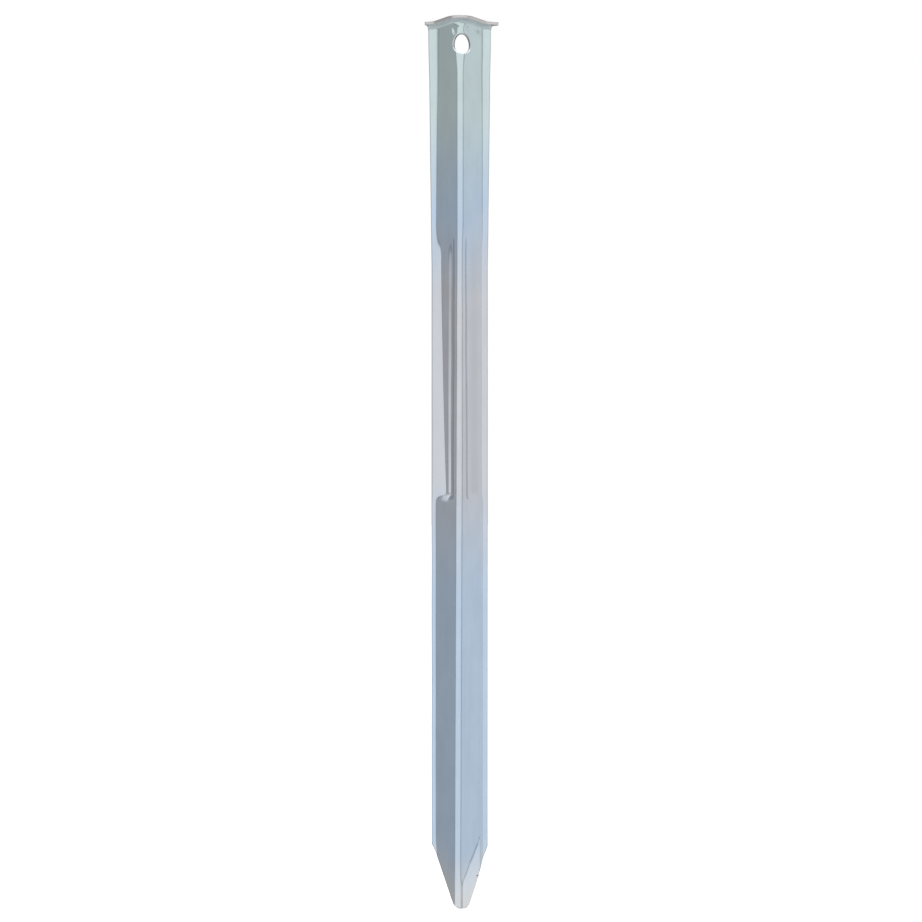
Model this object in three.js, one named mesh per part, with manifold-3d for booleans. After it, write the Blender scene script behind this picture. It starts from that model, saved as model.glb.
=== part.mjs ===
// Pressed ground peg in zinc-plated sheet steel. It is made the way a press makes it: a flat blank is
// trimmed and punched, then every point of the blank is moved to its place in the pressed shape.
//
// Millimetres. Z runs up the peg, from the nose at 0 to the strike face. X crosses the peg, with 0 midway
// between the two long edges. The fold's ridge lies along Y = 0 and faces -Y, and the hollow side faces +Y.
// The left side is the -X side.

import * as THREE from 'three';
import { mergeVertices } from 'three/addons/utils/BufferGeometryUtils.js';
import Module from 'manifold-3d';

const { clamp, lerp, smoothstep, degToRad } = THREE.MathUtils;

// Sheet and overall size.
const PEG_LENGTH = 400; // nose to strike face
const SHEET = 1.5; // sheet thickness
const BLANK_WIDTH = 33; // flat width of the shank, before folding

// Fold. Angles are measured from the flat sheet, radii to the middle of the sheet.
const SHANK = {
  left: { ridgeRadius: 1.7, flankAngle: degToRad(45), filletRadius: 2.5, wing: 1.8 },
  right: { ridgeRadius: 2.9, flankAngle: degToRad(45), filletRadius: 1.4, wing: 2.4 },
};
const HEAD = {
  left: { ridgeRadius: 2.4, flankAngle: degToRad(40), filletRadius: 10, wing: 3.2 },
  right: { ridgeRadius: 2.4, flankAngle: degToRad(40), filletRadius: 6.5, wing: 3.3 },
};
const WING_ANGLE = degToRad(15);
const HEAD_SECTION_LENGTH = 110; // distance over which the shank section opens into the head section
const RIDGE_SHIFT_NOSE = -1.5; // the ridge runs slightly aslant on the blank
const RIDGE_SHIFT_HEAD = 0.15;

// Nape: under the lip the ridge is rounder.
const NAPE_RADIUS = 4.5;
const NAPE_DROP = 26; // where it starts to get rounder, below the strike face
const NAPE_LENGTH = 16; // height over which it does

// Lip turned outward at the head, which takes the hammer and keeps a cord from slipping off.
const LIP_REACH = 4.5; // from the middle of the shank's sheet to the rim
const LIP_BEND_RADIUS = 3;
const LIP_EAR = { left: 0.6, right: 2.4 }; // how far the blank is wider there on each side
const EAR_FILLET = 2.4; // length of blank over which it widens
const EAR_LEAD = 1.8; // how far before the end of the bend the widening starts

// Cord hole, an upright ellipse on the flat blank.
const HOLE_WIDTH = 8;
const HOLE_HEIGHT = 8.8;
const HOLE_DROP = 11.4; // centre of the hole below the strike face
const HOLE_OFFSET = 1; // centre of the hole from the ridge, on the flat blank

// Flutes: one pressed into each flank. They start softly near the head and end in a shoulder. From the ridge
// outward a flute has a steep wall, a ledge and an outer slope.
const FLUTE_DROP = 90; // start of the flutes below the strike face
const FLUTE_LENGTH = 129;
const FLUTE_RUN_IN = 16;
const FLUTE_SHOULDER = 6;
const FLUTE_SCALE = BLANK_WIDTH / 33; // the sizes below suit a 33 mm blank, and follow its width
const FLUTE = {
  left: {
    top: {
      ridgeRadius: 1.7,
      wallAngle: degToRad(76),
      cornerRadius: 1.3,
      ledgeAngle: degToRad(24),
      ledge: 2,
      outerAngle: degToRad(57),
      outer: 3.6,
    },
    bottom: {
      ridgeRadius: 1.7,
      wallAngle: degToRad(82),
      cornerRadius: 1.2,
      ledgeAngle: degToRad(20),
      ledge: 1.2,
      outerAngle: degToRad(36),
      outer: 0.2,
    },
  },
  right: {
    top: {
      ridgeRadius: 1.9,
      wallAngle: degToRad(80),
      cornerRadius: 4.4,
      ledgeAngle: degToRad(31),
      ledge: 4.2,
      outerAngle: degToRad(42),
      outer: 1.4,
    },
    bottom: {
      ridgeRadius: 3.2,
      wallAngle: degToRad(80),
      cornerRadius: 2.6,
      ledgeAngle: degToRad(30),
      ledge: 4.4,
      outerAngle: degToRad(42),
      outer: 1.4,
    },
  },
};

// Cut point.
const NOSE_RADIUS = 4.9;
const NOSE_OFFSET = 1.2; // centre of the nose from the middle of the blank
const POINT_HEIGHT = { left: 26.2, right: 25.3 };

// Fineness of the faceted surface.
const SIDE_STEPS = [4, 2, 3, 2, 2, 2, 3, 2]; // steps across each stretch of one side, ridge to edge
const LEAST_STEP = 0.12; // a stretch too short for its steps borrows width from the others
const HOLE_STEPS = 28;
const NOSE_STEPS = 4;
const CUTTER_DEPTH = 20; // deeper than the sheet and its crown
const CROWN_RADIUS = 20000; // see crown()

// Heights that follow from the sizes above.
const FLUTE_TOP = PEG_LENGTH - FLUTE_DROP;
const FLUTE_BOTTOM = FLUTE_TOP - FLUTE_LENGTH;
const BEND_START = PEG_LENGTH - SHEET / 2 - LIP_BEND_RADIUS;
const BEND_ARC = (LIP_BEND_RADIUS * Math.PI) / 2;
const EAR_START = BEND_START + BEND_ARC - EAR_LEAD;
const BLANK_LENGTH = BEND_START + BEND_ARC + LIP_REACH - LIP_BEND_RADIUS;
const NAPE_BOTTOM = PEG_LENGTH - NAPE_DROP;
const NAPE_TOP = NAPE_BOTTOM + NAPE_LENGTH;

const wasm = await Module();
wasm.setup();

// Place of the ridge on the flat blank, measured from the blank's middle line.
function ridgeShift(height) {
  return lerp(RIDGE_SHIFT_NOSE, RIDGE_SHIFT_HEAD, fraction(height / FLUTE_TOP));
}

// A value held between 0 and 1.
function fraction(value) {
  return clamp(value, 0, 1);
}

// One stretch of a section: its length along the sheet, and the sheet's angle at its two ends.
function flat(run, angle) {
  return { run, from: angle, to: angle };
}

function bend(radius, from, to) {
  return { run: radius * Math.abs(to - from), from, to };
}

// Point and sheet angle at a distance along a list of stretches. The last one goes on without end.
function walk(stretches, distance) {
  let x = 0;
  let y = 0;
  let left = distance;
  for (const [index, { run, from, to }] of stretches.entries()) {
    const last = index === stretches.length - 1;
    const step = last ? left : Math.min(left, run);
    const turn = (to - from) * (run > 0 ? step / run : 0);
    const straight = Math.abs(turn) < 1e-9;
    x += straight ? step * Math.cos(from) : (step * (Math.sin(from + turn) - Math.sin(from))) / turn;
    y += straight ? step * Math.sin(from) : (step * (Math.cos(from) - Math.cos(from + turn))) / turn;
    left -= step;
    if (left <= 0) return { x, y, angle: from + turn };
  }
  return { x, y, angle: WING_ANGLE };
}

// A set of sizes, part of the way from one to another.
function blend(from, to, share) {
  const sizes = Object.keys(from).map((name) => [name, lerp(from[name], to[name], share)]);
  return Object.fromEntries(sizes);
}

// Section of one side without its flute: ridge, flank, fillet and wing. The flank takes the width that the
// others leave.
function plainSection(side, height) {
  const open = fraction((height - PEG_LENGTH + HEAD_SECTION_LENGTH) / HEAD_SECTION_LENGTH);
  const { ridgeRadius, flankAngle, filletRadius, wing } = blend(SHANK[side], HEAD[side], open);
  const rounder = smoothstep(height, NAPE_BOTTOM, NAPE_TOP);
  const ridge = bend(lerp(ridgeRadius, NAPE_RADIUS, rounder), 0, flankAngle);
  const fillet = bend(filletRadius, flankAngle, WING_ANGLE);
  const flank = flat(shankWidth(side, height) - ridge.run - fillet.run - wing, flankAngle);
  return [ridge, flank, fillet, flat(wing, WING_ANGLE)];
}

// Section of one side with its flute at full depth. The wall beside the ridge and the wing take whatever
// lengths keep the long edge where the plain section has it.
function flutedSection(side, height) {
  const edge = walk(plainSection(side, height), shankWidth(side, height));
  const taper = fraction((FLUTE_TOP - height) / FLUTE_LENGTH);
  const groove = blend(FLUTE[side].top, FLUTE[side].bottom, taper);
  const { wallAngle, ledgeAngle, outerAngle } = groove;
  const cornerRadius = groove.cornerRadius * FLUTE_SCALE;
  const ridge = bend(groove.ridgeRadius * FLUTE_SCALE, 0, wallAngle);
  const rest = [
    bend(cornerRadius, wallAngle, ledgeAngle),
    flat(groove.ledge * FLUTE_SCALE, ledgeAngle),
    bend(cornerRadius, ledgeAngle, outerAngle),
    flat(groove.outer * FLUTE_SCALE, outerAngle),
    bend(SHANK[side].filletRadius, outerAngle, WING_ANGLE),
  ];
  const fixed = walk([ridge, ...rest], totalRun([ridge, ...rest]));
  const across = edge.x - fixed.x;
  const deep = edge.y - fixed.y;
  const opening = Math.sin(wallAngle - WING_ANGLE);
  const wall = (deep * Math.cos(WING_ANGLE) - across * Math.sin(WING_ANGLE)) / opening;
  const wing = (across * Math.sin(wallAngle) - deep * Math.cos(wallAngle)) / opening;
  return [ridge, flat(wall, wallAngle), ...rest, flat(wing, WING_ANGLE)];
}

function totalRun(stretches) {
  return stretches.reduce((sum, stretch) => sum + stretch.run, 0);
}

// How far the flutes are pressed in at a height, from 0 to 1.
function fluteDepth(height) {
  const start = 1 - smoothstep(height, FLUTE_TOP - FLUTE_RUN_IN, FLUTE_TOP);
  const end = smoothstep(height, FLUTE_BOTTOM, FLUTE_BOTTOM + FLUTE_SHOULDER);
  return start * end;
}

// Distance from the ridge to the shank's long edge, on the flat blank.
function shankWidth(side, height) {
  const shift = ridgeShift(height);
  return BLANK_WIDTH / 2 + (side === 'left' ? shift : -shift);
}

// How far the blank is wider than the shank, on one side, at a distance up the blank.
function earWidth(side, up) {
  const rise = fraction((up - EAR_START) / EAR_FILLET);
  return LIP_EAR[side] * (1 - Math.sqrt(1 - rise * rise));
}

// Everything known about one side of the section at a height. Past its ends the flute keeps its end's shape,
// which only spaces the grid lines there.
function sideAt(side, height) {
  const width = shankWidth(side, height);
  const plain = plainSection(side, height);
  const fluted = flutedSection(side, clamp(height, FLUTE_BOTTOM, FLUTE_TOP));
  return {
    plain,
    fluted,
    edge: walk(plain, width),
    stretch: totalRun(fluted) / width,
    depth: fluteDepth(height),
  };
}

function pointOnSide({ plain, fluted, stretch, depth }, distance) {
  const before = walk(plain, distance);
  if (depth === 0) return before;
  const after = walk(fluted, distance * stretch);
  return {
    x: lerp(before.x, after.x, depth),
    y: lerp(before.y, after.y, depth),
    angle: lerp(before.angle, after.angle, depth),
  };
}

// Middle of the sheet after pressing, for a point of the blank: across it, and up it from the nose.
function pressedMiddle(across, up) {
  const height = Math.min(up, BEND_START);
  const offset = across - ridgeShift(height);
  const left = sideAt('left', height);
  const right = sideAt('right', height);
  const sign = offset < 0 ? -1 : 1;
  const { x, y, angle } = pointOnSide(offset < 0 ? left : right, Math.abs(offset));
  const ridgeX = (left.edge.x - right.edge.x) / 2;

  const bent = fraction((up - BEND_START) / BEND_ARC) * (Math.PI / 2);
  const beyond = Math.max(up - BEND_START - BEND_ARC, 0);
  const outward = LIP_BEND_RADIUS * (1 - Math.cos(bent)) + beyond;
  return new THREE.Vector3(
    ridgeX + sign * (x + outward * Math.sin(angle)),
    y - outward * Math.cos(angle),
    height + LIP_BEND_RADIUS * Math.sin(bent),
  );
}

// The blank is cut while it has a very slight crown, which pressing takes out again. A cut across a truly
// flat sheet would merge the grid points along each straight edge, and the folds need those points.
function crown(across, up) {
  return (across * across + up * up) / (2 * CROWN_RADIUS);
}

// Moves a point of the blank to its place in the pressed peg. The blank lies along the XZ plane.
function press({ x, y, z }) {
  const reach = 0.01;
  const alongX = pressedMiddle(x + reach, z).sub(pressedMiddle(x - reach, z));
  const alongZ = pressedMiddle(x, z + reach).sub(pressedMiddle(x, z - reach));
  const outward = alongX.cross(alongZ).normalize();
  return pressedMiddle(x, z).addScaledVector(outward, crown(x, z) - y);
}

// Distances from the ridge of the lines that run up one side of the sheet, at a distance up the blank.
function sideLines(side, up) {
  const height = Math.min(up, BEND_START);
  const { plain, fluted, stretch, depth } = sideAt(side, height);
  const [ridge, flank, fillet, wing] = plain;
  const pressedFlank = fluted.slice(1, -2);
  const flankScale = flank.run / totalRun(pressedFlank);
  const plainRuns = [ridge.run, ...pressedFlank.map(({ run }) => run * flankScale), fillet.run, wing.run];
  const wanted = fluted.map(({ run }, index) => lerp(plainRuns[index], run / stretch, depth));
  const least = wanted.map((run, index) => Math.max(run, LEAST_STEP * SIDE_STEPS[index]));
  const total = (list) => list.reduce((sum, run) => sum + run);
  const runs = least.map((run) => (run * total(wanted)) / total(least));
  runs[runs.length - 1] += earWidth(side, up);
  const lines = [0];
  for (const [index, steps] of SIDE_STEPS.entries()) {
    const from = lines.at(-1);
    lines.push(...spread(from, from + runs[index], steps));
  }
  return lines;
}

// Evenly spaced values from one to another, without the first.
function spread(from, to, steps) {
  return Array.from({ length: steps }, (_, index) => lerp(from, to, (index + 1) / steps));
}

// Distances up the blank of the lines that run across the sheet.
function crossLines() {
  const below = -1; // the sheet starts just below the nose
  const pointTop = Math.max(POINT_HEIGHT.left, POINT_HEIGHT.right);
  const earTurns = spread(0, Math.PI / 2, 5);
  return [
    below,
    ...spread(below, pointTop, 6),
    ...spread(pointTop, FLUTE_BOTTOM, 4),
    ...spread(FLUTE_BOTTOM, FLUTE_BOTTOM + FLUTE_SHOULDER, 6),
    ...spread(FLUTE_BOTTOM + FLUTE_SHOULDER, FLUTE_TOP - FLUTE_RUN_IN, 6),
    ...spread(FLUTE_TOP - FLUTE_RUN_IN, FLUTE_TOP, 6),
    ...spread(FLUTE_TOP, NAPE_BOTTOM, 5),
    ...spread(NAPE_BOTTOM, NAPE_TOP, 5),
    ...spread(NAPE_TOP, BEND_START, 2),
    ...spread(BEND_START, EAR_START, 4),
    ...earTurns.map((turn) => EAR_START + EAR_FILLET * Math.sin(turn)),
    BLANK_LENGTH,
  ];
}

// Strip of sheet as wide as the blank, ears and all, whose grid lines follow the folds to come.
function strip() {
  const heights = crossLines();
  const columns = 2 * SIDE_STEPS.reduce((sum, steps) => sum + steps);
  const geometry = new THREE.BoxGeometry(1, SHEET, 1, columns, 1, heights.length - 1);
  const lines = heights.map((up) => {
    const shift = ridgeShift(up);
    const left = sideLines('left', up).map((line) => shift - line);
    const right = sideLines('right', up).map((line) => shift + line);
    return [...left.reverse(), ...right.slice(1)];
  });
  const position = geometry.getAttribute('position');
  for (let index = 0; index < position.count; index += 1) {
    const row = Math.round((position.getZ(index) + 0.5) * (heights.length - 1));
    const column = Math.round((position.getX(index) + 0.5) * columns);
    const across = lines[row][column];
    const up = heights[row];
    position.setXYZ(index, across, position.getY(index) + crown(across, up), up);
  }
  return geometry;
}

// One straight cut of the point: the angle on the nose circle at which it starts, and its height where it is
// clear of the strip. Sign is -1 on the left side and 1 on the right.
function pointCut(sign, height, clear) {
  const half = BLANK_WIDTH / 2;
  const across = sign * half - NOSE_OFFSET;
  const up = height - NOSE_RADIUS;
  const angle = Math.atan2(up, across) - sign * Math.acos(NOSE_RADIUS / Math.hypot(across, up));
  return { angle, clearHeight: height + (clear - half) / Math.abs(Math.tan(angle)) };
}

// Outline of what the point's cut leaves: the nose and the two straight cuts. Above them it clears the strip.
function pointOutline() {
  const clear = BLANK_WIDTH / 2 + Math.max(LIP_EAR.left, LIP_EAR.right) + 1;
  const left = pointCut(-1, POINT_HEIGHT.left, clear);
  const right = pointCut(1, POINT_HEIGHT.right, clear);
  const lowest = -Math.PI / 2;
  const shape = new THREE.Shape();
  shape.absarc(NOSE_OFFSET, NOSE_RADIUS, NOSE_RADIUS, left.angle - 2 * Math.PI, lowest, false);
  shape.absarc(NOSE_OFFSET, NOSE_RADIUS, NOSE_RADIUS, lowest, right.angle, false);
  shape.lineTo(clear, right.clearHeight);
  shape.lineTo(clear, BLANK_LENGTH + 1);
  shape.lineTo(-clear, BLANK_LENGTH + 1);
  shape.lineTo(-clear, left.clearHeight);
  return shape;
}

function toSolid(geometry) {
  const bare = geometry.clone();
  bare.deleteAttribute('normal');
  bare.deleteAttribute('uv');
  const merged = mergeVertices(bare, 1e-5);
  const vertProperties = new Float32Array(merged.getAttribute('position').array);
  const triVerts = new Uint32Array(merged.getIndex().array);
  return new wasm.Manifold(new wasm.Mesh({ numProp: 3, vertProperties, triVerts }));
}

function toGeometry(solid) {
  const { vertProperties, triVerts } = solid.getMesh();
  const geometry = new THREE.BufferGeometry();
  geometry.setAttribute('position', new THREE.BufferAttribute(new Float32Array(vertProperties), 3));
  geometry.setIndex(new THREE.BufferAttribute(new Uint32Array(triVerts), 1));
  return geometry;
}

// Blank with its point cut and the cord hole punched.
function blank() {
  const point = new THREE.ExtrudeGeometry(pointOutline(), {
    depth: CUTTER_DEPTH,
    bevelEnabled: false,
    curveSegments: NOSE_STEPS,
  });
  point.rotateX(Math.PI / 2);
  point.translate(0, CUTTER_DEPTH / 2, 0);
  const holeHeight = PEG_LENGTH - HOLE_DROP;
  const punch = new THREE.CylinderGeometry(0.5, 0.5, CUTTER_DEPTH, HOLE_STEPS);
  punch.scale(HOLE_WIDTH, 1, HOLE_HEIGHT);
  punch.translate(ridgeShift(holeHeight) + HOLE_OFFSET, 0, holeHeight);
  return toSolid(strip()).intersect(toSolid(point)).subtract(toSolid(punch));
}

function pressedPeg() {
  const geometry = toGeometry(blank());
  const position = geometry.getAttribute('position');
  const point = new THREE.Vector3();
  for (let index = 0; index < position.count; index += 1) {
    const { x, y, z } = press(point.fromBufferAttribute(position, index));
    position.setXYZ(index, x, y, z);
  }
  geometry.computeVertexNormals();
  return geometry;
}

const zincPlatedSteel = new THREE.MeshStandardMaterial({ color: 0xa9b4bf, roughness: 0.3, metalness: 0.9 });

const peg = new THREE.Mesh(pressedPeg(), zincPlatedSteel);
peg.name = 'pressed_peg';

const groundPeg = new THREE.Group();
groundPeg.add(peg);

export default groundPeg;
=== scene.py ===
"""Looks of a pressed steel ground peg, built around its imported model.

The peg is made here as a press makes it: a flat blank is laid out, its point and its cord hole are cut, its
edges are eased, and then every point of it is moved to its place in the pressed shape. Lengths are in metres.
Z runs up the peg from the nose, X crosses it, and the convex ridge faces -Y.
"""

import logging
import math
from dataclasses import dataclass, field
from enum import Enum

import bmesh
import bpy
import numpy as np
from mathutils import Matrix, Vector


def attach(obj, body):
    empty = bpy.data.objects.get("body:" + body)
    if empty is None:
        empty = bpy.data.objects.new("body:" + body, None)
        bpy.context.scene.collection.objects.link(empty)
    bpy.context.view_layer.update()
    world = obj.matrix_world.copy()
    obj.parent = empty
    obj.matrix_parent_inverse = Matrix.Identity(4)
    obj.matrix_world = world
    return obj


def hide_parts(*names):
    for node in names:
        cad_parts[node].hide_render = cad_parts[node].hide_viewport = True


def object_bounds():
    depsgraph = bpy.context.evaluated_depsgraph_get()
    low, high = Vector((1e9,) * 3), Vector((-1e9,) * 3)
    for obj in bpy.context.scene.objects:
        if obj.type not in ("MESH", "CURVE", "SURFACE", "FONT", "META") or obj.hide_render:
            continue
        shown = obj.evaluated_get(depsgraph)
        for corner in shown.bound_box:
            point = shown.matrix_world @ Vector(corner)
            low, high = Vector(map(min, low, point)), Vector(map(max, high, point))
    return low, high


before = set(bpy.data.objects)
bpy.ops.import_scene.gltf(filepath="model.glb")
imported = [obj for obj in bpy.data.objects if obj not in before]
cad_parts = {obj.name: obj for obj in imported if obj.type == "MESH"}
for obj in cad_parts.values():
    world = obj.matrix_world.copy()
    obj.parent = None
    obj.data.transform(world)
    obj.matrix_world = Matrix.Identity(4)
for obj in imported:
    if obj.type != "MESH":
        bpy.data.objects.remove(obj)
CAD_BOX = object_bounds()
LOG = logging.getLogger("ground_peg")
MM = 0.001


class Side(Enum):
    """The two sides of the ridge, with the sign of X on each."""

    LEFT = -1
    RIGHT = 1


@dataclass(frozen=True)
class Section:
    """Shape of one side of the folded section, at one end of the peg."""

    ridge_radius: float
    flank_angle: float
    fillet_radius: float
    wing: float


@dataclass(frozen=True)
class Groove:
    """Shape of a flute at one height: a steep wall beside the ridge, a ledge and an outer slope."""

    ridge_radius: float
    wall_angle: float
    corner_radius: float
    ledge_angle: float
    ledge: float
    outer_angle: float
    outer: float


@dataclass(frozen=True)
class Flute:
    """Groove pressed into one flank, which changes evenly from its top to its bottom."""

    top: Groove
    bottom: Groove


@dataclass
class PressTool:
    """The shape that the press gives the blank, as a map from the flat blank to the finished peg.

    Across is measured from the middle line of the blank, and up from the nose.
    """

    length: float
    sheet: float = 1.5 * MM
    width: float = 33 * MM
    shank_left: Section = Section(1.7 * MM, math.radians(45), 2.5 * MM, 1.8 * MM)
    shank_right: Section = Section(2.9 * MM, math.radians(45), 1.4 * MM, 2.4 * MM)
    head_left: Section = Section(2.4 * MM, math.radians(40), 10 * MM, 3.2 * MM)
    head_right: Section = Section(2.4 * MM, math.radians(40), 6.5 * MM, 3.3 * MM)
    nape_radius: float = 4.5 * MM
    nape_drop: float = 26 * MM
    nape_length: float = 16 * MM
    wing_angle: float = math.radians(15)
    head_length: float = 110 * MM
    ridge_shift_nose: float = -1.5 * MM
    ridge_shift_head: float = 0.15 * MM
    lip_reach: float = 4.5 * MM
    lip_radius: float = 3.0 * MM
    ear_left: float = 0.6 * MM
    ear_right: float = 2.4 * MM
    ear_fillet: float = 2.4 * MM
    flute_drop: float = 90 * MM
    flute_length: float = 129 * MM
    flute_run_in: float = 16 * MM
    flute_shoulder: float = 6 * MM
    least_step: float = 0.12 * MM
    flute_left: Flute = Flute(
        Groove(1.7 * MM, math.radians(76), 1.3 * MM, math.radians(24), 2.0 * MM, math.radians(57), 3.6 * MM),
        Groove(1.7 * MM, math.radians(82), 1.2 * MM, math.radians(20), 1.2 * MM, math.radians(36), 0.2 * MM),
    )
    flute_right: Flute = Flute(
        Groove(1.9 * MM, math.radians(80), 4.4 * MM, math.radians(31), 4.2 * MM, math.radians(42), 1.4 * MM),
        Groove(3.2 * MM, math.radians(80), 2.6 * MM, math.radians(30), 4.4 * MM, math.radians(42), 1.4 * MM),
    )

    @property
    def flute_top(self) -> float:
        """Height at which the flutes start."""
        return self.length - self.flute_drop

    @property
    def flute_bottom(self) -> float:
        """Height at which the flutes end in their shoulder."""
        return self.flute_top - self.flute_length

    @property
    def bend_start(self) -> float:
        """Height at which the lip starts to turn outward."""
        return self.length - self.sheet / 2 - self.lip_radius

    @property
    def bend_arc(self) -> float:
        """Length of blank in the lip's bend."""
        return self.lip_radius * math.pi / 2

    @property
    def ear_start(self) -> float:
        """Place up the blank at which the lip starts to be wider than the shank."""
        return self.bend_start + self.bend_arc - 0.75 * self.ear_fillet

    @property
    def blank_length(self) -> float:
        """Length of the flat blank."""
        return self.bend_start + self.bend_arc + self.lip_reach - self.lip_radius

    def ridge_shift(self, up: np.ndarray) -> np.ndarray:
        """Place of the ridge on the flat blank."""
        share = np.clip(up / self.flute_top, 0, 1)
        return self.ridge_shift_nose + (self.ridge_shift_head - self.ridge_shift_nose) * share

    def half_width(self, side: Side, up: np.ndarray) -> np.ndarray:
        """Width of blank between the ridge and the shank's long edge."""
        return self.width / 2 - side.value * self.ridge_shift(up)

    def ear(self, side: Side, up: np.ndarray) -> np.ndarray:
        """Extra width of the blank where the lip is turned out."""
        rise = np.clip((up - self.ear_start) / self.ear_fillet, 0, 1)
        reach = self.ear_left if side is Side.LEFT else self.ear_right
        return reach * (1 - np.sqrt(1 - rise * rise))

    def plain(self, side: Side, up: np.ndarray) -> tuple[np.ndarray, np.ndarray]:
        """Section of one side without its flute: ridge, flank, fillet and wing.

        Args:
            side: The side of the ridge.
            up: Heights, one for each section.

        Returns:
            The length of each stretch, and the sheet's angle at its two ends, one row for each height.
        """
        opened = np.clip((up - self.length + self.head_length) / self.head_length, 0, 1)
        left = side is Side.LEFT
        shank, head = (self.shank_left, self.head_left) if left else (self.shank_right, self.head_right)

        def between(name: str) -> np.ndarray:
            """A size of the section, between its shank and head values."""
            low, high = getattr(shank, name), getattr(head, name)
            return low + (high - low) * opened

        angle = between("flank_angle")
        wing = between("wing")
        nape = smooth_step(up, self.length - self.nape_drop, self.length - self.nape_drop + self.nape_length)
        ridge = (between("ridge_radius") + (self.nape_radius - between("ridge_radius")) * nape) * angle
        fillet = between("fillet_radius") * (angle - self.wing_angle)
        flank = self.half_width(side, up) - ridge - fillet - wing
        wing_angle = np.full_like(angle, self.wing_angle)
        runs = np.stack([ridge, flank, fillet, wing], axis=1)
        angles = np.stack([0 * angle, angle, angle, wing_angle, wing_angle], axis=1)
        return runs, angles

    def fluted(self, side: Side, up: np.ndarray) -> tuple[np.ndarray, np.ndarray]:
        """Section of one side with its flute at full depth, as plain() gives it.

        The wall beside the ridge and the wing take the lengths that keep the long edge where it was.

        Args:
            side: The side of the ridge.
            up: Heights, one for each section.

        Returns:
            The length of each stretch, and the sheet's angle at its two ends, one row for each height.
        """
        up = np.clip(up, self.flute_bottom, self.flute_top)
        taper = (self.flute_top - up) / self.flute_length
        flute = self.flute_left if side is Side.LEFT else self.flute_right
        shank = self.shank_left if side is Side.LEFT else self.shank_right

        def between(name: str) -> np.ndarray:
            """A size of the groove, between its top and bottom values."""
            high, low = getattr(flute.top, name), getattr(flute.bottom, name)
            return high + (low - high) * taper

        wall, ledge, steep = between("wall_angle"), between("ledge_angle"), between("outer_angle")
        corner = between("corner_radius")
        none, flat = np.zeros_like(up), np.full_like(up, self.wing_angle)
        runs = np.stack([
            between("ridge_radius") * wall,
            none,
            corner * (wall - ledge),
            between("ledge"),
            corner * (steep - ledge),
            between("outer"),
            shank.fillet_radius * (steep - flat),
            none,
        ], axis=1)
        angles = np.stack([none, wall, wall, ledge, ledge, steep, steep, flat, flat], axis=1)
        edge = walk(*self.plain(side, up), self.half_width(side, up))
        fixed = walk(runs, angles, runs.sum(axis=1))
        across, deep = edge[0] - fixed[0], edge[1] - fixed[1]
        opening = np.sin(wall - flat)
        runs[:, 1] = (deep * np.cos(flat) - across * np.sin(flat)) / opening
        runs[:, 7] = (across * np.sin(wall) - deep * np.cos(wall)) / opening
        return runs, angles

    def flute_depth(self, up: np.ndarray) -> np.ndarray:
        """How far the flutes are pressed in, from 0 to 1."""
        start = 1 - smooth_step(up, self.flute_top - self.flute_run_in, self.flute_top)
        end = smooth_step(up, self.flute_bottom, self.flute_bottom + self.flute_shoulder)
        return start * end

    def lines(self, side: Side, up: float, steps: tuple[int, ...]) -> list[float]:
        """Distances from the ridge of the grid lines that run up one side of the blank.

        Args:
            side: The side of the ridge.
            up: Distance up the blank.
            steps: Number of lines in each stretch of the fluted section.

        Returns:
            The distances, from 0 at the ridge to the blank's edge.
        """
        height = np.array([min(up, self.bend_start)])
        plain = self.plain(side, height)[0][0]
        fluted = self.fluted(side, height)[0][0]
        fluted *= plain.sum() / fluted.sum()
        shares = fluted[1:6] / fluted[1:6].sum()
        plain = np.array([plain[0], *(plain[1] * shares), plain[2], plain[3]])
        runs = plain + (fluted - plain) * self.flute_depth(height)[0]
        width = runs.sum()
        runs = np.maximum(runs, self.least_step * np.array(steps))
        runs *= width / runs.sum()
        runs[-1] += self.ear(side, np.array([up]))[0]
        found = [0.0]
        for run, count in zip(runs, steps):
            found += [found[-1] + run * (step + 1) / count for step in range(count)]
        return found

    def middle(self, across: np.ndarray, up: np.ndarray) -> np.ndarray:
        """Middle of the sheet after pressing.

        Args:
            across: Places across the blank.
            up: Places up the blank.

        Returns:
            One XYZ row for each place.
        """
        height = np.minimum(up, self.bend_start)
        offset = across - self.ridge_shift(height)
        depth = self.flute_depth(height)
        x, y, angle = (np.zeros_like(offset) for _ in range(3))
        ridge_x = np.zeros_like(offset)
        for side in Side:
            here = (offset < 0) if side is Side.LEFT else (offset >= 0)
            width = self.half_width(side, height)
            plain = self.plain(side, height)
            ridge_x -= side.value * walk(*plain, width)[0] / 2
            fluted = self.fluted(side, height)
            before = walk(*plain, np.abs(offset))
            after = walk(*fluted, np.abs(offset) * fluted[0].sum(axis=1) / width)
            for target, low, high in zip((x, y, angle), before, after):
                target[here] = (low + (high - low) * depth)[here]
        sign = np.where(offset < 0, -1.0, 1.0)
        bent = np.clip((up - self.bend_start) / self.bend_arc, 0, 1) * math.pi / 2
        beyond = np.maximum(up - self.bend_start - self.bend_arc, 0)
        outward = self.lip_radius * (1 - np.cos(bent)) + beyond
        return np.stack([
            ridge_x + sign * (x + outward * np.sin(angle)),
            y - outward * np.cos(angle),
            height + self.lip_radius * np.sin(bent),
        ], axis=1)

    def press(self, flat: np.ndarray) -> tuple[np.ndarray, np.ndarray]:
        """Moves points of the flat blank to their places in the peg.

        Args:
            flat: One row for each point: across, through the sheet and up.

        Returns:
            The pressed points, and the outward direction of the sheet at each.
        """
        across, through, up = flat.T
        reach = 0.01 * MM
        along = self.middle(across + reach, up) - self.middle(across - reach, up)
        climb = self.middle(across, up + reach) - self.middle(across, up - reach)
        outward = np.cross(along, climb)
        outward /= np.linalg.norm(outward, axis=1)[:, None]
        return self.middle(across, up) - outward * through[:, None], outward


def smooth_step(value: np.ndarray, low: float, high: float) -> np.ndarray:
    """Soft step from 0 at low to 1 at high."""
    share = np.clip((value - low) / (high - low), 0, 1)
    return share * share * (3 - 2 * share)


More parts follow.
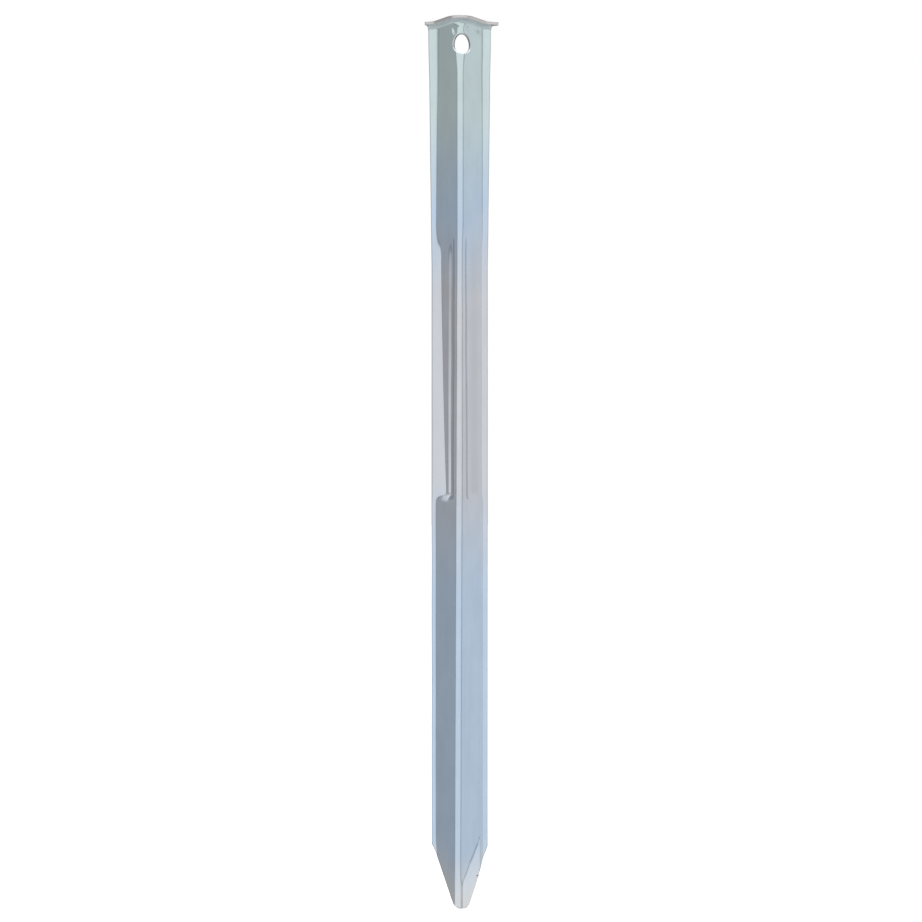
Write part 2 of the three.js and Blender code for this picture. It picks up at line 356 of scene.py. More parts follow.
def walk(runs: np.ndarray, angles: np.ndarray, distance: np.ndarray) -> tuple[np.ndarray, ...]:
    """Points at given distances along sections made of straight and curved stretches.

    Args:
        runs: Length of each stretch, one row for each section.
        angles: Angle of the sheet at the ends of the stretches, one row for each section.
        distance: How far to go along each section. The last stretch goes on without end.

    Returns:
        Across, depth and angle of the sheet at each point.
    """
    x, y = np.zeros_like(distance), np.zeros_like(distance)
    angle = angles[:, 0].copy()
    left = distance.copy()
    count = runs.shape[1]
    for index in range(count):
        start, turn = angles[:, index], angles[:, index + 1] - angles[:, index]
        step = left if index == count - 1 else np.clip(left, 0, runs[:, index])
        share = np.divide(step, runs[:, index], out=np.zeros_like(step), where=runs[:, index] > 0)
        turn = turn * share
        curved = np.abs(turn) > 1e-9
        safe = np.where(curved, turn, 1.0)
        x += step * np.where(curved, (np.sin(start + turn) - np.sin(start)) / safe, np.cos(start))
        y += step * np.where(curved, (np.cos(start) - np.cos(start + turn)) / safe, np.sin(start))
        angle = np.where(left > 0, start + turn, angle)
        left = left - step
    return x, y, angle


@dataclass(frozen=True)
class Dent:
    """A shallow mark left by handling and by the press: raised where the height is positive."""

    across: float
    up: float
    half_width: float
    half_length: float
    turn: float
    height: float

    def lift(self, offset: np.ndarray, up: np.ndarray) -> np.ndarray:
        """How far the mark raises the sheet at given distances from the ridge and from the nose."""
        aside, along = offset - self.across, up - self.up
        wide = aside * math.cos(self.turn) + along * math.sin(self.turn)
        long = along * math.cos(self.turn) - aside * math.sin(self.turn)
        return self.height * np.exp(-((wide / self.half_width) ** 2) - (long / self.half_length) ** 2)


@dataclass(frozen=True)
class Crease:
    """A soft bend of the sheet along a straight line, beyond which the sheet lies flatter to the front.

    The line starts at a place on the blank and runs up in a heading away from the ridge. It never comes
    nearer to the ridge than its hinge, and ends where the wing starts.
    """

    across: float
    up: float
    heading: float
    slope: float
    softness: float
    hinge: float
    wing: float

    def forward(self, offset: np.ndarray, up: np.ndarray) -> np.ndarray:
        """How far the sheet comes forward at given distances from the ridge and from the nose."""
        side = math.copysign(1, self.across)
        offset = np.minimum(offset * side, self.wing)
        aside, along = offset - abs(self.across), up - self.up
        beyond = aside * math.cos(self.heading) - along * math.sin(self.heading)
        beyond = np.minimum(beyond, offset - self.hinge)
        return np.logaddexp(0, beyond / self.softness) * self.softness * self.slope


@dataclass(frozen=True)
class RollerWave:
    """Very slight waviness that rolling and handling leave in the sheet."""

    height: float = 0.03 * MM
    seed: int = 11
    waves: int = 14
    shortest: float = 9 * MM
    longest: float = 60 * MM

    def lift(self, offset: np.ndarray, up: np.ndarray) -> np.ndarray:
        """How far the wave raises the sheet at given distances from the ridge and from the nose."""
        draw = np.random.default_rng(self.seed)
        total = np.zeros_like(offset)
        for _ in range(self.waves):
            length = draw.uniform(self.shortest, self.longest)
            heading = draw.normal(0, 0.5)
            phase = draw.uniform(0, 2 * math.pi)
            along = up * math.cos(heading) + offset * math.sin(heading)
            total += np.sin(2 * math.pi * along / length + phase) * length / self.longest
        return total * self.height


@dataclass
class Point:
    """The cut that gives the peg its point: a round nose and two straight cuts."""

    half_width: float
    nose_radius: float = 4.9 * MM
    nose_offset: float = 1.2 * MM
    left_height: float = 26.2 * MM
    right_height: float = 25.3 * MM
    nose_cuts: int = 15

    def straight_angle(self, side: Side) -> float:
        """Direction, on the nose circle, in which one straight cut faces."""
        height = self.left_height if side is Side.LEFT else self.right_height
        across = side.value * self.half_width - self.nose_offset
        up = height - self.nose_radius
        reach = math.acos(self.nose_radius / math.hypot(across, up))
        return math.atan2(up, across) - side.value * reach

    def facings(self) -> list[float]:
        """Directions of all the straight cuts that together trim the point, from left to right."""
        left = self.straight_angle(Side.LEFT) - 2 * math.pi
        right = self.straight_angle(Side.RIGHT)
        return [left + (right - left) * step / (self.nose_cuts + 1) for step in range(self.nose_cuts + 2)]


class Mesher:
    """Small steps of hand modelling that the makers below share."""

    @staticmethod
    def start(name: str) -> bpy.types.Object:
        """Names the primitive that was just added, and its mesh."""
        made = bpy.context.object
        made.name = name
        made.data.name = name
        return made

    @staticmethod
    def clear_selection() -> None:
        """Deselects every object."""
        bpy.ops.object.select_all(action="DESELECT")

    @staticmethod
    def apply(made: bpy.types.Object, kind: str, **settings: object) -> None:
        """Adds one modifier to an object and applies it.

        Args:
            made: The object.
            kind: The modifier's type.
            settings: Values of the modifier's properties.
        """
        modifier = made.modifiers.new(kind.lower(), kind)
        for name, value in settings.items():
            setattr(modifier, name, value)
        bpy.context.view_layer.objects.active = made
        bpy.ops.object.modifier_apply(modifier=modifier.name)

    @staticmethod
    def select(made: bpy.types.Object, kind: str, wanted: object) -> int:
        """Selects the vertices, edges or faces of the edited mesh that pass a test.

        Args:
            made: The object in edit mode.
            kind: "verts", "edges" or "faces".
            wanted: A test of one element.

        Returns:
            How many were selected.
        """
        mesh = bmesh.from_edit_mesh(made.data)
        modes = {"verts": {"VERT"}, "edges": {"EDGE"}, "faces": {"FACE"}}
        mesh.select_mode = modes[kind]
        for items in (mesh.verts, mesh.edges, mesh.faces):
            for item in items:
                item.select = False
        chosen = [item for item in getattr(mesh, kind) if wanted(item)]
        for item in chosen:
            item.select = True
        mesh.select_flush_mode()
        bmesh.update_edit_mesh(made.data)
        return len(chosen)


@dataclass
class GroundPeg:
    """The peg: one blank, cut, eased along its edges and pressed."""

    tool: PressTool
    hole_width: float = 8.0 * MM
    hole_height: float = 8.8 * MM
    hole_drop: float = 11.4 * MM
    hole_offset: float = 1.0 * MM
    hole_sides: int = 72
    steps: tuple[int, ...] = (6, 5, 5, 3, 5, 4, 6, 4)
    row: float = 1.35 * MM
    fine_row: float = 0.45 * MM
    edge_ease: float = 0.3 * MM
    corner_ease: float = 0.5 * MM
    below_nose: float = 1 * MM
    wave: RollerWave = field(default_factory=RollerWave)
    dents: tuple[Dent, ...] = ()
    creases: tuple[Crease, ...] = ()

    def __post_init__(self) -> None:
        """Works out the point's cut from the blank's width."""
        self.point = Point(self.tool.width / 2)
        self.hole_up = self.tool.length - self.hole_drop
        shift = self.tool.ridge_shift(np.array([self.hole_up]))[0]
        self.hole_across = float(shift) + self.hole_offset

    def rows(self) -> list[float]:
        """Distances up the blank of the lines that run across it, close together where it is shaped most."""
        tool = self.tool
        spans = [
            (-self.below_nose, tool.flute_bottom - 2 * MM, self.row),
            (tool.flute_bottom - 2 * MM, tool.flute_bottom + tool.flute_shoulder + 2 * MM, self.fine_row),
            (tool.flute_bottom + tool.flute_shoulder + 2 * MM, self.hole_up - 12 * MM, self.row),
            (self.hole_up - 12 * MM, tool.bend_start, self.fine_row),
            (tool.bend_start, tool.blank_length, 0.25 * MM),
        ]
        found = [spans[0][0]]
        for low, high, spacing in spans:
            count = math.ceil((high - low) / spacing)
            found += [low + (high - low) * (step + 1) / count for step in range(count)]
        return found

    def add_sheet(self) -> bpy.types.Object:
        """Lays out a flat strip whose lines follow the folds to come."""
        rows = self.rows()
        columns = 2 * sum(self.steps) + 1
        Mesher.clear_selection()
        bpy.ops.mesh.primitive_grid_add(
            x_subdivisions=columns - 1,
            y_subdivisions=len(rows) - 1,
            size=1,
            rotation=(math.pi / 2, 0, 0),
        )
        sheet = Mesher.start("ground_peg")
        bpy.ops.object.transform_apply(location=True, rotation=True, scale=True)
        count = len(sheet.data.vertices)
        places = np.empty(count * 3)
        sheet.data.vertices.foreach_get("co", places)
        places = places.reshape(count, 3)
        lines = []
        for up in rows:
            shift = float(self.tool.ridge_shift(np.array([up]))[0])
            left = [shift - line for line in self.tool.lines(Side.LEFT, up, self.steps)]
            right = [shift + line for line in self.tool.lines(Side.RIGHT, up, self.steps)]
            lines.append(left[::-1] + right[1:])
        row = np.rint((places[:, 2] + 0.5) * (len(rows) - 1)).astype(int)
        column = np.rint((places[:, 0] + 0.5) * (columns - 1)).astype(int)
        places[:, 0] = np.array(lines)[row, column]
        places[:, 1] = 0
        places[:, 2] = np.array(rows)[row]
        sheet.data.vertices.foreach_set("co", places.ravel())
        sheet.data.update()
        return sheet

    def cut_point(self, sheet: bpy.types.Object) -> None:
        """Trims the point with straight cuts that touch the nose circle."""
        bpy.ops.object.mode_set(mode="EDIT")
        point = self.point
        for facing in point.facings():
            across, up = math.cos(facing), math.sin(facing)
            bpy.ops.mesh.select_all(action="SELECT")
            bpy.ops.mesh.bisect(
                plane_co=(
                    point.nose_offset + point.nose_radius * across,
                    0,
                    point.nose_radius * (1 + up),
                ),
                plane_no=(across, 0, up),
                clear_outer=True,
                threshold=0.002 * MM,
            )
        bpy.ops.mesh.select_all(action="SELECT")
        bpy.ops.mesh.remove_doubles(threshold=0.06 * MM)
        bpy.ops.object.mode_set(mode="OBJECT")

    def punch_hole(self, sheet: bpy.types.Object) -> None:
        """Takes out the sheet under the punch, and joins the opening to a true ellipse."""
        centre = Vector((self.hole_across, 0, self.hole_up))
        margin = 0.4 * MM

        def reach(place: Vector) -> float:
            """Distance from the hole's centre, as a share of the hole's half width and half height."""
            aside, along = place.x - centre.x, place.z - centre.z
            return math.hypot(aside / (self.hole_width / 2), along / (self.hole_height / 2))

        limit = 1 + margin / (self.hole_width / 2)
        bpy.ops.object.mode_set(mode="EDIT")
        Mesher.select(sheet, "faces", lambda face: min(reach(corner.co) for corner in face.verts) < limit)
        bpy.ops.mesh.delete(type="FACE")
        bpy.ops.mesh.select_all(action="DESELECT")
        bpy.ops.mesh.primitive_circle_add(
            vertices=self.hole_sides,
            radius=self.hole_height / 2,
            location=centre,
            rotation=(math.pi / 2, 0, 0),
        )
        bpy.context.scene.tool_settings.transform_pivot_point = "MEDIAN_POINT"
        bpy.ops.transform.resize(
            value=(self.hole_width / self.hole_height, 1, 1),
            center_override=centre,
        )
        Mesher.select(
            sheet,
            "edges",
            lambda edge: len(edge.link_faces) < 2 and reach(edge.verts[0].co) < 2,
        )
        bpy.ops.mesh.fill(use_beauty=True)
        bpy.ops.mesh.select_all(action="SELECT")
        bpy.ops.mesh.normals_make_consistent(inside=False)
        bpy.ops.object.mode_set(mode="OBJECT")

    def thicken(self, sheet: bpy.types.Object) -> None:
        """Gives the blank its thickness and eases the edges that shearing and punching leave."""
        Mesher.apply(sheet, "SOLIDIFY", thickness=self.tool.sheet, offset=0.0, use_rim=True)
        bpy.ops.object.mode_set(mode="EDIT")
        bpy.ops.mesh.select_all(action="SELECT")
        bpy.ops.mesh.normals_make_consistent(inside=False)
        corners = Mesher.select(sheet, "edges", self.is_lip_corner)
        bpy.ops.mesh.bevel(offset=self.corner_ease, segments=4, affect="EDGES", clamp_overlap=False)
        rims = Mesher.select(sheet, "edges", self.is_rim)
        bpy.ops.mesh.bevel(offset=self.edge_ease, segments=3, affect="EDGES", clamp_overlap=False)
        bpy.ops.mesh.select_all(action="SELECT")
        bpy.ops.mesh.remove_doubles(threshold=0.0005 * MM)
        bpy.ops.object.mode_set(mode="OBJECT")
        LOG.info("eased %d corner edges and %d rim edges", corners, rims)

    def is_lip_corner(self, edge: bmesh.types.BMEdge) -> bool:
        """Whether an edge of the flat blank is a corner at the end of the lip."""
        along = edge.verts[1].co - edge.verts[0].co
        through = abs(along.y) > 0.9 * along.length
        top = all(end.co.z > self.tool.blank_length - 0.01 * MM for end in edge.verts)
        outer = all(abs(end.co.x) > self.tool.width / 2 for end in edge.verts)
        return through and top and outer

    @staticmethod
    def is_rim(edge: bmesh.types.BMEdge) -> bool:
        """Whether an edge of the flat blank lies between a face of the sheet and its cut edge."""
        if len(edge.link_faces) != 2:
            return False
        flat = [abs(face.normal.y) > 0.9 for face in edge.link_faces]
        return flat[0] != flat[1]

    def mark_cut_faces(self, sheet: bpy.types.Object) -> None:
        """Gives the sheared and punched faces the second material slot."""
        for face in sheet.data.polygons:
            hole = (face.center - Vector((self.hole_across, 0, self.hole_up))).length < self.hole_height
            face.material_index = 1 if abs(face.normal.y) < (0.3 if hole else 0.93) else 0

    def press(self, sheet: bpy.types.Object) -> None:
        """Moves the blank's points to the pressed shape, and keeps where they were as an attribute."""
        count = len(sheet.data.vertices)
        flat = np.empty(count * 3)
        sheet.data.vertices.foreach_get("co", flat)
        flat = flat.reshape(count, 3)
        pressed, outward = self.tool.press(flat)
        offset = flat[:, 0] - self.tool.ridge_shift(flat[:, 2])
        lift = self.wave.lift(offset, flat[:, 2])
        for dent in self.dents:
            lift += dent.lift(offset, flat[:, 2])
        pressed += outward * lift[:, None]
        for crease in self.creases:
            pressed[:, 1] -= crease.forward(offset, flat[:, 2])
        sheet.data.vertices.foreach_set("co", pressed.ravel())
        blank = sheet.data.attributes.new("blank", "FLOAT_VECTOR", "POINT")
        kept = np.stack([offset, flat[:, 1], flat[:, 2]], axis=1)
        blank.data.foreach_set("vector", kept.ravel())
        sheet.data.update()

    def build(self) -> bpy.types.Object:
        """Makes the finished peg."""
        sheet = self.add_sheet()
        self.cut_point(sheet)
        self.punch_hole(sheet)
        self.thicken(sheet)
        self.mark_cut_faces(sheet)
        self.press(sheet)
        Mesher.clear_selection()
        sheet.select_set(True)
        bpy.context.view_layer.objects.active = sheet
        bpy.ops.object.shade_smooth_by_angle(angle=math.radians(40))
        return sheet

    def dress(self, sheet: bpy.types.Object, plating: "ZincPlating", shear: "ShearedSteel") -> None:
        """Gives the peg its two finishes and its places in the frame."""
        kept = [face.material_index for face in sheet.data.polygons]
        sheet.data.materials.clear()
        sheet.data.materials.append(plating.build())
        sheet.data.materials.append(shear.build())
        sheet.data.polygons.foreach_set("material_index", kept)
        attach(sheet, "root")
        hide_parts("pressed_peg")


Socket = bpy.types.NodeSocket
Colour = tuple[float, float, float]


class Graph:
    """A node tree that is being wired up."""

    def __init__(self, tree: bpy.types.NodeTree) -> None:
        """Starts with an empty tree."""
        self.tree = tree
        tree.nodes.clear()

    def add(
        self,
        kind: str,
        inputs: dict[str | int, object] | None = None,
        **settings: object,
    ) -> bpy.types.Node:
        """Adds a node.

        Args:
            kind: The node's type, without its ShaderNode prefix.
            inputs: Socket to link from, or value, for each named or numbered input.
            settings: Values of the node's properties.

        Returns:
            The node.
        """
        prefix = "" if kind.startswith(("NodeGroup", "ShaderNode")) else "ShaderNode"
        made = self.tree.nodes.new(prefix + kind)
        for name, value in settings.items():
            setattr(made, name, value)
        for name, value in (inputs or {}).items():
            if isinstance(value, bpy.types.NodeSocket):
                self.tree.links.new(value, made.inputs[name])
            else:
                made.inputs[name].default_value = value
        return made

    def math(self, operation: str, first: object, second: object = 0.0, clamp: bool = False) -> Socket:
        """One arithmetic step on two values or sockets."""
        return self.add("Math", {0: first, 1: second}, operation=operation, use_clamp=clamp).outputs[0]

    def span(self, value: Socket, low: float, high: float, start: float = 0.0, end: float = 1.0) -> Socket:
        """Maps a value between two limits to another range, softly at both ends."""
        inputs = {"Value": value, "From Min": low, "From Max": high, "To Min": start, "To Max": end}
        return self.add("MapRange", inputs, interpolation_type="SMOOTHSTEP").outputs[0]

    def mix(self, share: object, first: object, second: object, blend: str = "MIX") -> Socket:
        """Mixes two colours."""
        made = self.add("Mix", data_type="RGBA", blend_type=blend)
        for name, value in ((0, share), (6, first), (7, second)):
            if isinstance(value, bpy.types.NodeSocket):
                self.tree.links.new(value, made.inputs[name])
            elif name == 0:
                made.inputs[name].default_value = value
            else:
                made.inputs[name].default_value = (*value, 1.0)
        return made.outputs[2]

    def noise(self, place: Socket, scale: float, detail: float = 2.0, stretch: Colour = (1, 1, 1)) -> Socket:
        """Noise at a place. Stretch above 1 packs it closer along an axis."""
        moved = self.add("VectorMath", {0: place, 1: stretch}, operation="MULTIPLY").outputs[0]
        return self.add("TexNoise", {"Vector": moved, "Scale": scale, "Detail": detail}).outputs["Fac"]

    def ramp(self, value: Socket, stops: list[tuple[float, Colour]]) -> Socket:
        """Colours at places between 0 and 1."""
        made = self.add("ValToRGB", {"Fac": value})
        elements = made.color_ramp.elements
        while len(elements) < len(stops):
            elements.new(0.5)
        for element, (place, colour) in zip(elements, stops):
            element.position = place
            element.color = (*colour, 1.0)
        return made.outputs["Color"]


def new_group(
    name: str,
    inputs: dict[str, tuple[str, object]],
    outputs: dict[str, str],
) -> tuple[Graph, bpy.types.Node, bpy.types.Node]:
    """Starts a shader node group.

    Args:
        name: The group's name.
        inputs: Kind and starting value of each input socket.
        outputs: Kind of each output socket.

    Returns:
        The group's graph, its input node and its output node.
    """
    tree = bpy.data.node_groups.new(name, "ShaderNodeTree")
    for label, (kind, value) in inputs.items():
        made = tree.interface.new_socket(label, in_out="INPUT", socket_type=kind)
        if value is not None:
            made.default_value = value
    for label, kind in outputs.items():
        tree.interface.new_socket(label, in_out="OUTPUT", socket_type=kind)
    graph = Graph(tree)
    return graph, graph.add("NodeGroupInput"), graph.add("NodeGroupOutput")


class FinishEffects:
    """Effects that both finishes use, each built once as a node group."""

    @staticmethod
    def use(graph: Graph, name: str, inputs: dict[str, object]) -> bpy.types.Node:
        """Places one effect in a material."""
        made = graph.add("Group")
        made.node_tree = bpy.data.node_groups.get(name) or getattr(FinishEffects, name)()
        for label, value in inputs.items():
            if isinstance(value, bpy.types.NodeSocket):
                graph.tree.links.new(value, made.inputs[label])
            else:
                made.inputs[label].default_value = value
        return made

    @staticmethod
    def rolled_grain() -> bpy.types.NodeTree:
        """Fine streaks that run up the sheet, as rolling and plating leave them."""
        inputs = {"Place": ("NodeSocketVector", None), "Depth": ("NodeSocketFloat", 1.0)}
        graph, start, end = new_group("rolled_grain", inputs, {"Value": "NodeSocketFloat"})
        coarse = graph.noise(start.outputs["Place"], 420.0, 4.0, (1.0, 1.0, 0.05))
        fine = graph.noise(start.outputs["Place"], 2600.0, 3.0, (1.0, 1.0, 0.3))
        both = graph.math("ADD", graph.math("MULTIPLY", coarse, 0.6), graph.math("MULTIPLY", fine, 0.4))
        centred = graph.math("SUBTRACT", both, 0.5)
        scaled = graph.math("MULTIPLY", centred, start.outputs["Depth"])
        graph.tree.links.new(scaled, end.inputs["Value"])
        return graph.tree

    @staticmethod
    def handling_scratches() -> bpy.types.NodeTree:
        """Thin straight scratches, in two directions, as a mask."""
        inputs = {"Place": ("NodeSocketVector", None), "Amount": ("NodeSocketFloat", 0.5)}
        graph, start, end = new_group("handling_scratches", inputs, {"Mask": "NodeSocketFloat"})
        masks = []
        for turn, scale in ((0.35, 210.0), (-0.8, 150.0)):
            turned = graph.add(
                "VectorRotate",
                {"Vector": start.outputs["Place"], "Angle": turn},
                rotation_type="Y_AXIS",
            ).outputs[0]
            stretched = graph.add("VectorMath", {0: turned, 1: (9.0, 1.0, 0.35)}, operation="MULTIPLY")
            cells = graph.add(
                "TexVoronoi",
                {"Vector": stretched.outputs[0], "Scale": scale},
                feature="DISTANCE_TO_EDGE",
            ).outputs["Distance"]
            thin = graph.span(cells, 0.0, 0.02, 1.0, 0.0)
            patch = graph.span(graph.noise(start.outputs["Place"], 95.0 + scale / 4), 0.56, 0.7)
            masks.append(graph.math("MULTIPLY", thin, patch))
        both = graph.math("MAXIMUM", masks[0], masks[1])
        graph.tree.links.new(graph.math("MULTIPLY", both, start.outputs["Amount"]), end.inputs["Mask"])
        return graph.tree


@dataclass(frozen=True)
class ZincPlating:
    """Bright zinc plating whose colour bands up the peg are partly a blue, grey and faintly green passivation
    and partly painted reflection; its turned-out lip is painted lighter as painted light on its shaded
    underside, with a faint pinkish hue.
    """

    # Colours of the bands up the peg: partly passivation colour, partly painted reflection of the room.
    bright: Colour = (0.74, 0.76, 0.78)
    blue: Colour = (0.56, 0.69, 0.85)
    grey: Colour = (0.67, 0.69, 0.74)
    green: Colour = (0.64, 0.76, 0.78)
    # Painted light: the lip is painted lighter to lift its shaded underside, with a faint pinkish hue.
    lip: Colour = (0.97, 0.93, 0.93)
    lip_up: float = 398.2 * MM
    tint_and_reflection_length: float = 400 * MM
    tint_and_reflection_drift: float = 50 * MM
    roughness: float = 0.17
    grain_light: float = 0.16
    cloud_light: float = 0.05
    grain_rough: float = 0.22
    cloud_rough: float = 0.06
    scratch_amount: float = 0.6
    scratch_share: float = 0.35
    scratched: Colour = (0.86, 0.88, 0.9)
    relief_strength: float = 0.25
    relief_height: float = 0.03 * MM

    def build(self) -> bpy.types.Material:
        """Makes the material."""
        material = bpy.data.materials.new("zinc_plating")
        material.use_nodes = True
        graph = Graph(material.node_tree)
        place = graph.add("TexCoord").outputs["Object"]
        blank = graph.add("Attribute", attribute_name="blank").outputs["Vector"]
        up = graph.add("SeparateXYZ", {0: blank}).outputs["Z"]
        drift = graph.noise(place, 26.0, 2.0, (1.6, 1.6, 0.6))
        drifted = graph.math("MULTIPLY", graph.math("SUBTRACT", drift, 0.5), self.tint_and_reflection_drift)
        height = graph.math("ADD", up, drifted)
        share = graph.math("DIVIDE", height, self.tint_and_reflection_length, clamp=True)
        # Bands by height: partly passivation colour, partly painted reflection.
        tint_and_painted_light = graph.ramp(share, [
            (0.0, self.bright),
            (0.06, self.blue),
            (0.36, self.blue),
            (0.48, self.grey),
            (0.68, self.grey),
            (0.78, self.blue),
            (0.9, self.green),
            (1.0, self.green),
        ])
        # Painted light: the turned-out lip is mixed to a lighter colour that lifts its shaded underside.
        turned = graph.span(up, self.lip_up, self.lip_up + 3 * MM)
        tint_and_painted_light = graph.mix(turned, tint_and_painted_light, self.lip)
        grain = FinishEffects.use(graph, "rolled_grain", {"Place": blank, "Depth": 1.0}).outputs["Value"]
        scratches = {"Place": blank, "Amount": self.scratch_amount}
        marks = FinishEffects.use(graph, "handling_scratches", scratches).outputs["Mask"]
        cloud = graph.span(graph.noise(place, 140.0, 4.0, (1.0, 1.0, 0.5)), 0.3, 0.7, -0.5, 0.5)
        grain_part = graph.math("MULTIPLY", grain, self.grain_light)
        cloud_part = graph.math("MULTIPLY", cloud, self.cloud_light)
        level = graph.math("ADD", 1.0, graph.math("ADD", grain_part, cloud_part))
        shade = graph.add("VectorMath", {0: tint_and_painted_light}, operation="SCALE")
        graph.tree.links.new(level, shade.inputs["Scale"])
        scratch = graph.math("MULTIPLY", marks, self.scratch_share)
        colour = graph.mix(scratch, shade.outputs[0], self.scratched)
        rough = graph.math("ADD", self.roughness, graph.math("MULTIPLY", grain, self.grain_rough))
        rough = graph.math("ADD", rough, graph.math("MULTIPLY", cloud, self.cloud_rough))
        relief = graph.math("ADD", graph.math("MULTIPLY", grain, 0.6), graph.math("MULTIPLY", marks, -0.5))
        surface = {"Height": relief, "Strength": self.relief_strength, "Distance": self.relief_height}
        bump = graph.add("Bump", surface).outputs["Normal"]
        shader = graph.add(
            "BsdfPrincipled",
            {"Base Color": colour, "Roughness": rough, "Normal": bump, "Metallic": 1.0},
        )
        output = graph.add("OutputMaterial")
        graph.tree.links.new(shader.outputs[0], output.inputs[0])
        return material


@dataclass(frozen=True)
class ShearedSteel:
    """Cut edge of the sheet: a burnished strip and a torn, darker one, only thinly plated."""

    burnished: Colour = (0.68, 0.66, 0.67)
    sheared: Colour = (0.25, 0.25, 0.27)
    torn: Colour = (0.20, 0.20, 0.21)
    half_sheet: float = 0.75 * MM
    hole_up: float = 388.6 * MM
    scratch_amount: float = 0.5
    scratch_share: float = 0.4
    scratched: Colour = (0.62, 0.64, 0.66)
    hammered_share: float = 0.7
    roughness: float = 0.3
    torn_rough: float = 0.25
    grain_rough: float = 0.2
    relief_strength: float = 0.5
    relief_height: float = 0.06 * MM

    def build(self) -> bpy.types.Material:
        """Makes the material."""
        material = bpy.data.materials.new("sheared_steel")
        material.use_nodes = True
        graph = Graph(material.node_tree)
        blank = graph.add("Attribute", attribute_name="blank").outputs["Vector"]
        through = graph.add("SeparateXYZ", {0: blank}).outputs["Y"]
        ragged = graph.math("SUBTRACT", graph.noise(blank, 900.0, 3.0), 0.5)
        line = graph.math("ADD", through, graph.math("MULTIPLY", ragged, self.half_sheet))
        tear = graph.span(line, -0.1 * self.half_sheet, 0.25 * self.half_sheet)
        grain = FinishEffects.use(graph, "rolled_grain", {"Place": blank, "Depth": 1.0}).outputs["Value"]
        scratches = {"Place": blank, "Amount": self.scratch_amount}
        marks = FinishEffects.use(graph, "handling_scratches", scratches).outputs["Mask"]
        up = graph.add("SeparateXYZ", {0: blank}).outputs["Z"]
        hammered = graph.span(up, self.hole_up - 8 * MM, self.hole_up - 6 * MM)
        closed = graph.math("MULTIPLY", hammered, self.hammered_share)
        tear = graph.math("MULTIPLY", tear, graph.math("SUBTRACT", 1.0, closed))
        dull = graph.mix(hammered, self.sheared, self.burnished)
        colour = graph.mix(tear, dull, self.torn)
        colour = graph.mix(graph.math("MULTIPLY", marks, self.scratch_share), colour, self.scratched)
        rough = graph.math("ADD", self.roughness, graph.math("MULTIPLY", tear, self.torn_rough))
        rough = graph.math("ADD", rough, graph.math("MULTIPLY", grain, self.grain_rough))
        relief = graph.math("ADD", graph.math("MULTIPLY", ragged, tear), grain)
        surface = {"Height": relief, "Strength": self.relief_strength, "Distance": self.relief_height}
        bump = graph.add("Bump", surface).outputs["Normal"]
        shader = graph.add(
            "BsdfPrincipled",
            {"Base Color": colour, "Roughness": rough, "Normal": bump, "Metallic": 1.0},
        )
        output = graph.add("OutputMaterial")
        graph.tree.links.new(shader.outputs[0], output.inputs[0])
        return material


@dataclass(frozen=True)
class Panel:
    """One tall, soft, neutral light panel. Heading 0 is behind the camera, and plus is to the right.

    Args:
        heading: Where the panel's middle stands, in degrees.
        half_width: Half the width that it fills, in degrees.
        level: How bright it is.
    """

    heading: float
    half_width: float
    level: float


@dataclass(frozen=True)
class StudioLight:
    """Plain soft light: a grey room, a front panel, a key on the right and a weaker fill on the left.

    Args:
        panels: The three panels.
        fade: How far each panel's edge fades out, in degrees.
        slope_start: Sine of the elevation where the ceiling or the ground starts to show.
        slope_end: Sine of the elevation from which only the ceiling or the ground shows.
    """

    panels: tuple[Panel, ...] = (
        Panel(0, 40, 0.9),
        Panel(90, 28, 0.75),
        Panel(-90, 28, 0.45),
    )
    fade: float = 14
    slope_start: float = 0.45
    slope_end: float = 0.8
    room: Colour = (0.25, 0.25, 0.25)
    ceiling: Colour = (0.9, 0.9, 0.9)
    ground: Colour = (0.6, 0.6, 0.6)
    backdrop: Colour = (1.0, 1.0, 1.0)

    def build(self) -> None:
        """Makes the surroundings."""
        world = bpy.data.worlds.new("studio")
        bpy.context.scene.world = world
        world.use_nodes = True
        graph = Graph(world.node_tree)
        toward = graph.add("SeparateXYZ", {0: graph.add("TexCoord").outputs["Generated"]})
        ahead = graph.math("MULTIPLY", toward.outputs["Y"], -1.0)
        heading = graph.math("ARCTAN2", toward.outputs["X"], ahead)
        lit = self.room
        for panel in self.panels:
            away = graph.math("ABSOLUTE", graph.math("SUBTRACT", heading, math.radians(panel.heading)))
            outer = math.radians(panel.half_width + self.fade)
            share = graph.span(away, math.radians(panel.half_width), outer, 1.0, 0.0)
            lit = graph.mix(share, lit, (panel.level, panel.level, panel.level))
        above = graph.span(toward.outputs["Z"], self.slope_start, self.slope_end)
        lit = graph.mix(above, lit, self.ceiling)
        below = graph.span(toward.outputs["Z"], -self.slope_end, -self.slope_start, 1.0, 0.0)
        lit = graph.mix(below, lit, self.ground)
        seen = graph.add("LightPath").outputs["Is Camera Ray"]
        light = graph.add("Background", {"Color": graph.mix(seen, lit, self.backdrop)})
        output = graph.add("OutputWorld")
        graph.tree.links.new(light.outputs[0], output.inputs[0])


